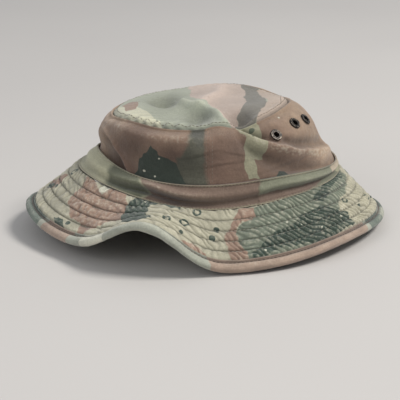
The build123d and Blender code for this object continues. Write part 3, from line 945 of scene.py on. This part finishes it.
# The tuck's line is given by bearings and shares; a crease is its bearing, share, length in degrees and drop.
TUCK = [(-86, 0.66), (-74, 0.62), (-62, 0.5), (-54, 0.28), (-48, 0.06)]
WALL_CREASES = [(8, 0.36, 14, 0.03), (16, 0.5, 10, -0.05), (-6, 0.52, 9, 0.04), (40, 0.2, 16, 0.06)]
WALL_PRINT = {
    "green": [("outline", (-20, 0.5), (-16, 0.5), (-13, 0.7), (-14, 1), (-3, 1), (-1, -0.1), (-16, -0.1))],
    "slate": [("outline", (-13, 1), (-3, 1), (-3, 0.65), (-8, 0.65), (-11, 0.8))],
    "dark": [
        ("outline", (-47, 0), (-42, 0.25), (-41, 0.4), (-34, 0.65), (-28, 0.5), (-20, 0.4), (-12, 0.1),
         (-12, -0.1), (-47, -0.1)),
        ("outline", (34, 0), (37, 0.15), (42, 0.15), (44, 0)),
    ],
    "khaki": [
        ("outline", (18, 0.95), (21, 1), (35, 1), (35, 0.65), (31, 0.35), (27, 0.4), (26, 0.1), (21, 0.1),
         (20, 0.45), (22, 0.75)),
    ],
    "mark": [("spot", 30, 0.9, 2.9), ("spot", 27, 0.75, 1.9)],
    "fleck": [
        ("spot", -38, 0.2, 1.2), ("spot", -31, 0.15, 1.0), ("spot", -29, 0.45, 0.8), ("spot", 53, 0.9, 0.9),
    ],
}


def ridge_level(bearing):
    """The share of the wall's height where the fold below the eyelets runs: lower towards the back."""
    return 0.2 + 0.8 * np.exp((18 - bearing) / 22)


def eyelet_places():
    """Where the eyelets' axes meet the cloth."""
    return [np.array(mount["pos_m"]) * MM for mount in frame["record"]["mounts"] if mount["kind"] == "bore"]


def short_creases(u, v):
    """Four faint creases in the middle of the side, in millimetres outward."""
    total = 0.0
    for centre, level, length, drop in WALL_CREASES:
        off = (v - level - drop * (u - centre) / length) * WALL_UNIT[1]
        total = total + hump(u, centre, length) * (0.3 * hump(off, 1.8, 1.8) - 0.42 * hump(off, -0.6, 1.5))
    return total


def wall_relief(bearings, shares):
    """Folds in the wall, in millimetres outward, over a grid."""
    u, v = np.meshgrid(bearings, shares, indexing="ij")
    ku, kv = WALL_UNIT
    flat = wall(bearings, shares, 0.0)
    above = (v - ridge_level(u)) * kv + 1.2 * noise(flat, 18.0, 63)
    ridge = 5.0 * np.exp(-np.abs(above / np.where(above > 0, 3.0, 8.0)) ** 1.6)
    hollow = -3.8 * hump(above, 7.5, 4.5) - 3.6 * hump(above, -16, 8)
    folds = ease(u, 15, 27) * (1 - ease(u, 78, 96)) * (ridge + hollow)
    tuck = path_distance(u * ku, v * kv, [(a * ku, b * kv) for a, b in TUCK])
    sunk = (u < TUCK[-1][0]) & (v < np.interp(u, *zip(*TUCK)))
    near = np.exp(-tuck / 1.4)
    tucked = np.where(sunk, -4.6 * (1 - near) + 1.6 * near, 1.6 * hump(tuck, 0, 4))
    folds = folds + (1 - ease(-u, 66, 84)) * tucked
    shoulder = 1.2 * hump(v, 0.82, 0.1) * (swell(u, -40, 40) + 0.3)
    roll = swell(u, -25, 30) * (1.8 * hump(v, 0.76, 0.1) - 1.4 * hump(v, 0.5, 0.14))
    slack = 1.5 * noise(flat * [1, 1, 1.6], 30.0, 61) + 0.8 * noise(flat, 12.0, 62)
    relief = folds + shoulder + roll + short_creases(u, v) + slack + 0.16 * noise(flat, 4.0, 64)
    for place in eyelet_places():
        gap = np.linalg.norm(flat - place, axis=-1)
        relief = relief * (1 - np.exp(-((gap / 7.5) ** 4)))
    held = ease(v, 0.0, 0.12) * (1 - 0.8 * ease(v, 0.93, 1.0))
    return relief * held


def tip_lip(shares):
    """The turned edge of the wall at the tip seam, a small roll."""
    return 0.9 * hump(shares, 0.975, 0.016) - 1.2 * ease(shares, 0.985, 1.0)


def wall_fields(bearings, shares):
    """The printed patches of the wall over a grid, and a mask of painted light: a lighter tan towards the
    back, towards the front and towards the top of the wall.
    """
    u, v = bearings[:, None], shares[None, :]
    flat = wall(bearings, shares, 0.0)
    hidden = (("green", 5), ("dark", 5), ("khaki", 4))
    fields = print_fields(WALL_PRINT, u, v, WALL_UNIT, flat, hidden, (0.1, 0.9), (7, 15), (118, 240))
    # Painted light: lighter towards the back and the front, and towards the top of the wall, in noisy
    # patches.
    sides = 0.85 * ease(u, 34, 74) + 0.6 * (1 - ease(u, -84, -44))
    fields["painted_light"] = np.clip(sides + 0.4 * ease(v, 0.7, 1.0) + 0.1 + 0.3 * noise(flat, 26.0, 96), 0, 1)
    return fields


def build_wall():
    """The front and rear side panels, with their folds, their lips at the tip seam and a lapped side seam."""
    layers = [("green", (80, 84, 72), 3.0, 4.0, 0.85), ("slate", (80, 80, 72), 2.0, 2.5, 0.8),
              ("dark", (58, 67, 58), 2.0), ("khaki", KHAKI, 1.5), ("mark", (86, 94, 76), 1.0),
              ("fleck", WHITE, 0.5)]
    material = cloth_material("camouflage_wall", BROWN, layers, fade=0.16, painted_light=(172, 147, 122))
    every, shares = around(760), np.linspace(0, 1, 72)
    everything = wall_fields(every, shares)
    relief = wall_relief(every, shares)
    for name, first, last in (("crown_side_front", -180.0, -0.02), ("crown_side_rear", 0.02, 180.0)):
        pick = (every > first) & (every < last)
        bearings = np.concatenate([[first], every[pick], [last]])

        def with_ends(values):
            chosen = values[pick]
            return np.concatenate([chosen[:1], chosen, chosen[-1:]])

        seams = 0.35 * (hump(bearings, 0, 2.2) + hump(np.abs(bearings), 180, 2.2))[:, None]
        folded = with_ends(relief) + tip_lip(shares) + seams
        outer = wall(bearings, shares, folded)
        inner = wall(bearings, shares, folded - CLOTH)
        fields = {key: with_ends(values) for key, values in everything.items()}
        # Painted light over the tucked pocket at the front-left; with it, the crest field paints shade in the
        # wall's hollows and along the tip seam, and highlight on its folds.
        pocket_light = 0.55 * ease(-bearings, 52, 60) * (1 - ease(-bearings, 100, 125))
        crest = 0.26 * folded - 0.9 * hump(shares, 1.0, 0.012) + pocket_light[:, None]
        fields.update(crest=np.clip(crest, -1, 0.9), cloth=cloth_grid(bearings, shares, WALL_UNIT))
        middles = (outer[:-1, :-1] + outer[1:, :-1] + outer[1:, 1:] + outer[:-1, 1:]) / 4
        gaps = [np.linalg.norm(middles - place, axis=-1) for place in eyelet_places()]
        holes = np.min(gaps, axis=0) < EYELET_HOLE
        panel_solid(name + "_panel", outer, inner, fields, holes, replaces=[name], slot="camouflage_wall",
                    material=material)


TIP_PRINT = {
    "cream": [("outline", (0, -80), (3, -60), (30, -46), (66, -36), (66, -80))],
    "brown": [("outline", (-3, -74), (-18, -66), (-14, -58), (14, -60), (20, -68))],
    "pink": [
        ("outline", (-14, -15), (-62, -16), (-62, 30), (-40, 33), (8, 31), (36, 26), (62, 20), (40, 8),
         (10, -2)),
    ],
    "grey": [("outline", (-62, 30), (8, 31), (36, 26), (66, 18), (62, 32), (40, 44), (10, 48), (-60, 43))],
    "rose": [("outline", (-40, 42), (10, 49), (55, 38), (40, 62), (0, 80), (-40, 70))],
}


def puckers_at(points, bearing, spread):
    """Gathers along the tip seam, strongest towards the front of the left side."""
    gather = np.sin(np.radians(bearing) * 46 + 2.5 * noise(points, 14.0, 71))
    return (0.2 + 1.7 * swell(bearing, -38, 24)) * gather * np.exp(-(1 - spread) * TIP_REACH / 10.0)


# A dent is its height, its place in x and y, and its reach along each; a ridge is the line of its top.
TIP_DENTS = [(-11.5, -14, -38, 15, 11), (-9.5, 46, 25, 15, 9), (-6.5, 38, -9, 16, 10)]
TIP_RIDGE = [(0, -22), (12, -14), (20, -4), (36, 5), (58, 15), (64, 18)]
TIP_BRANCH = [(16, -8), (0, -3), (-20, 8), (-44, 12)]


def tip_relief(points, bearing, spread):
    """Dents, ridges and the gathers along the seam, in millimetres up."""
    x, y = points[..., 0], points[..., 1]
    dents = sum(rise * hump(x, px, rx) * hump(y, py, ry) for rise, px, py, rx, ry in TIP_DENTS)
    ridges = 4.4 * hump(path_distance(x, y, TIP_RIDGE), 0, 4.5)
    ridges = ridges + 3.4 * hump(path_distance(x, y, TIP_BRANCH), 0, 7.0)
    slack = 1.3 * noise(points, 32.0, 72) + 0.5 * noise(points, 12.0, 73)
    seam_gap = (1 - spread) * TIP_REACH
    seam = -1.6 * hump(seam_gap, 0, 1.5) + 0.6 * hump(seam_gap, 4.0, 2.0)
    puckers = puckers_at(points, bearing, spread) * (1 - ease(spread, 0.985, 1.0))
    return (dents + ridges + slack) * (1 - ease(spread, 0.9, 1.0)) + puckers + seam


def build_tip():
    """The top panel: its dome, dents and ridges, gathered along the seam, with its hem turned down inside."""
    bearings = around(620)
    spreads = np.concatenate([np.linspace(0.003, 0.85, 50), np.linspace(0.86, 1.0, 18)])
    flat = tip(bearings, spreads, 0.0)
    x, y = flat[..., 0], flat[..., 1]
    u, v = bearings[:, None], spreads[None, :]
    relief = tip_relief(flat, u, v)
    outer = raised(flat, relief)
    hem = 2.6 * ease(spreads, 0.97, 0.995)
    inner = raised(outer, 0 * x - CLOTH - hem)
    fields = print_fields(TIP_PRINT, x, y, (1.0, 1.0), flat)
    # Painted shade in the dents and along the seam, painted highlight on the ridges and on the puckers' tops.
    crest = 0.16 * relief + 0.25 * puckers_at(flat, u, v) - 1.2 * hump((1 - spreads) * TIP_REACH, 0, 1)
    fields.update(crest=np.clip(crest, -1, 0.9), cloth=np.stack([x, y, 0 * x], axis=-1))
    points, whole = wrapped(outer, inner, fields)
    count, width = points.shape[:2]
    faces = loop_faces(count, width, True, False)
    faces.append([i * width for i in range(count)])
    faces.append([i * width + width - 1 for i in reversed(range(count))])
    layers = [("cream", (198, 196, 172), 2.5), ("pink", (190, 172, 159), 1.5), ("grey", (126, 122, 112), 1.5),
              ("rose", (186, 168, 152), 2.0), ("brown", (152, 128, 110), 2.5)]
    material = cloth_material("camouflage_tip", (164, 168, 150), layers, fade=0.08)
    new_object("crown_tip_panel", points, faces, whole, replaces=["crown_tip"], slot="camouflage_tip",
               material=material)


def build_crown_threads():
    """The row along the tip seam with one loose end, and the double rows beside the side seams."""
    material = thread_material("crown_thread", (104, 94, 80))
    bearings, row = np.linspace(-180, 180, 1500), np.array([0.962])
    flat = tip(bearings, row, 0.0)
    path = raised(flat, tip_relief(flat, bearings[:, None], row[None, :]) + 0.12)[:, 0]
    away = np.tile([0.0, 0.0, 1.0], (len(path), 1))
    stitches("tip_seam_thread", path, away, material, length=2.4, radius=0.25, replaces=["tip_seam_stitch"])
    root = tip(np.array([66.0]), np.array([0.99]), 0.6)[0, 0]
    tail = root + np.array([[0, 0, -0.5], [0, 0.3, 1.5], [0, 0.2, 3.5], [0.3, -0.2, 5.5], [0.5, 0.1, 7.6]])
    aside = np.tile([1.0, 0, 0], (len(tail), 1))
    stitches("loose_thread", tail, aside, material, length=7.2, gap=0.2, radius=0.2)
    shares = np.linspace(0.1, 0.95, 140)
    offset = math.degrees(2.5 / SIDE_RADIUS)
    for side, middle in SIDES:
        bearings = np.array([middle - offset, middle + offset])
        relief = wall_relief((bearings + 180) % 360 - 180, shares)
        path = wall(bearings, shares, relief + 0.15)
        away = wall(bearings, shares, relief + 1.15) - path
        name = "side_seam_stitch_" + side
        for row, (ending, node) in enumerate((("_thread", [name]), ("_thread_second", ()))):
            stitches(name + ending, path[row], away[row], material, length=2.2, radius=0.2, replaces=node)


# ==== Inside ====
def build_inside():
    """Sweatband, tapes and the stitching that is only seen from below."""
    olive = cloth_material("sweatband_cloth", (96, 94, 74), crest=False, twill=0.5)
    bearings, shares = around(480), np.linspace(0.1, 0.92, 20)
    u, v = bearings[:, None], shares[None, :]
    relief = np.minimum(band_relief(u, v), 0) * 0.9
    rough_back = relief - 2.0 + 0.15 * noise(band(u, v, 0.0), 18.0, 81)
    strip("sweatband_strip", "sweatband", band_grid, (bearings, shares), (relief - 1.3, rough_back),
          BAND_UNIT, slot="sweatband_cloth", material=olive)
    finish = {"slot": "seam_tape", "material": cloth_material("seam_tape_cloth", (104, 98, 76), crest=False)}
    shares = np.linspace(0.88, 0.97, 6)
    relief = np.minimum(wall_relief(bearings, shares), 0)
    strip("tip_seam_tape_strip", "tip_seam_tape", wall, (bearings, shares), (relief - 1.1, relief - 1.6),
          WALL_UNIT, **finish)
    shares = np.linspace(0.1, 0.84, 30)
    reach = math.degrees(5.0 / SIDE_RADIUS)
    for side, middle in SIDES:
        bearings = np.linspace(middle - reach, middle + reach, 14)
        relief = wall_relief((bearings + 180) % 360 - 180, shares)
        name = "side_seam_tape_" + side
        strip(name + "_strip", name, wall, (bearings, shares), (relief - 0.85, relief - 1.35), WALL_UNIT,
              panel_solid, **finish)
    bearings = np.linspace(-180, 180, 1500)
    relief = np.minimum(band_relief(bearings, np.full_like(bearings, 0.2)), 0) * 0.9
    path = band(bearings, 0.2, -2.1 + relief)
    away = band(bearings, 0.2, -3.1 + relief) - path
    material = thread_material("sweatband_thread", (120, 112, 88))
    stitches("sweatband_stitch_thread", path, away, material, radius=0.22, replaces=["sweatband_stitch"])


def box_of(node):
    """A node's lowest and highest corners, in millimetres."""
    return (np.array(corner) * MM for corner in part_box(node))


def ribbon(name, node, body, sag, material):
    """A thin strip over a CAD node's box, bowed a little."""
    low, high = box_of(node)
    x = np.linspace(low[0], high[0], 40)
    z = np.linspace(low[2], high[2], 30)
    gx, gz = np.meshgrid(x, z, indexing="ij")
    down = (high[2] - gz) / max(high[2] - low[2], 1)
    middle = (low[1] + high[1]) / 2 + sag * down**2 * np.cos(gx / 14) + 0.15 * np.sin(gx / 3) * down
    half = (high[1] - low[1]) / 2
    front = np.stack([gx, middle - half, gz], axis=-1)
    rear = np.stack([gx, middle + half, gz], axis=-1)
    fields = {"cloth": np.stack([gx, gz, 0 * gx], axis=-1)}
    return panel_solid(name, rear, front, fields, body=body, replaces=[node], slot="label_ribbon",
                       material=material)


def build_label():
    """The blank label, its hem and the stitching through the hem."""
    material = cloth_material("label_ribbon_cloth", (226, 224, 212), crest=False, weave=0.4, twill=1.0)
    ribbon("size_label_flap", "size_label", "label", 1.2, material)
    ribbon("label_hem_strip", "label_hem", "hat", 0.0, material)
    low, high = box_of("label_stitch")
    path = np.tile((low + high) / 2, (40, 1))
    path[:, 0] = np.linspace(low[0], high[0], len(path))
    away = np.tile([0.0, -1.0, 0.0], (len(path), 1))
    dark = thread_material("label_thread", (70, 70, 62))
    stitches("label_stitch_thread", path, away, dark, length=2.0, radius=0.22, replaces=["label_stitch"])


def dress_eyelets():
    """The eyelets and washers are hard parts, so the frame's own meshes show."""
    material = eyelet_material()
    for side in ("left", "right"):
        for part in ("eyelets_", "eyelet_washers_"):
            mesh = frame["nodes"][part + side].data
            mesh.materials.clear()
            mesh.materials.append(material)


# ==== Stage ====
VIEW_ELEVATION = math.radians(18)
VIEW_DISTANCE = 1.1
VIEW_LENS = 115.8
AIM_LEFT = -0.0073
AIM_UP = -0.0274


def build_camera():
    """A long lens level with the wearer's left side and a little above it."""
    backward = Vector((math.cos(VIEW_ELEVATION), 0, math.sin(VIEW_ELEVATION)))
    upward = Vector((-math.sin(VIEW_ELEVATION), 0, math.cos(VIEW_ELEVATION)))
    data = bpy.data.cameras.new("camera")
    data.lens = VIEW_LENS
    data.sensor_width = 36
    camera = bpy.data.objects.new("camera", data)
    camera.location = backward * VIEW_DISTANCE + Vector((0, 1, 0)) * AIM_LEFT + upward * AIM_UP
    camera.rotation_euler = backward.to_track_quat("Z", "Y").to_euler()
    bpy.context.collection.objects.link(camera)
    bpy.context.scene.camera = camera


def area_light(name, place, size, power, colour):
    data = bpy.data.lights.new(name, "AREA")
    data.size = size
    data.energy = power
    data.color = colour
    light = bpy.data.objects.new(name, data)
    light.location = place
    light.rotation_euler = Vector(place).to_track_quat("Z", "Y").to_euler()
    bpy.context.collection.objects.link(light)


def build_stage():
    """A plain pale floor, a soft key from above and behind the hat's back, and a weak fill."""
    mesh = bpy.data.meshes.new("floor")
    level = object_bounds()[0][2] - 0.0005
    corners = [(x, y, level) for x, y in ((-6, -6), (6, -6), (6, 6), (-6, 6))]
    mesh.from_pydata(corners, [], [[0, 1, 2, 3]])
    floor = bpy.data.objects.new("floor", mesh)
    bpy.context.collection.objects.link(floor)
    n = Nodes("floor_paint")
    n.feed(n.shader.inputs["Base Color"], n.mix(n.noise(400.0), linear(190, 187, 184), linear(198, 195, 191)))
    n.shader.inputs["Roughness"].default_value = 0.95
    mesh.materials.append(n.material)
    world = bpy.data.worlds.new("room")
    world.use_nodes = True
    sky = world.node_tree.nodes["Background"].inputs
    sky["Color"].default_value = (0.86, 0.88, 0.92, 1)
    sky["Strength"].default_value = 0.55
    bpy.context.scene.world = world
    area_light("key", (0.45, 1.7, 2.3), 0.9, 70.0, (1.0, 0.97, 0.93))
    area_light("fill", (1.2, -1.0, 0.9), 1.0, 6.0, (0.97, 0.98, 1.0))
    bpy.context.scene.view_settings.view_transform = "Standard"


build_brim()
build_quilting()
build_binding()
build_band()
build_band_threads()
build_wall()
build_tip()
build_crown_threads()
build_inside()
build_label()
dress_eyelets()
build_stage()
build_camera()
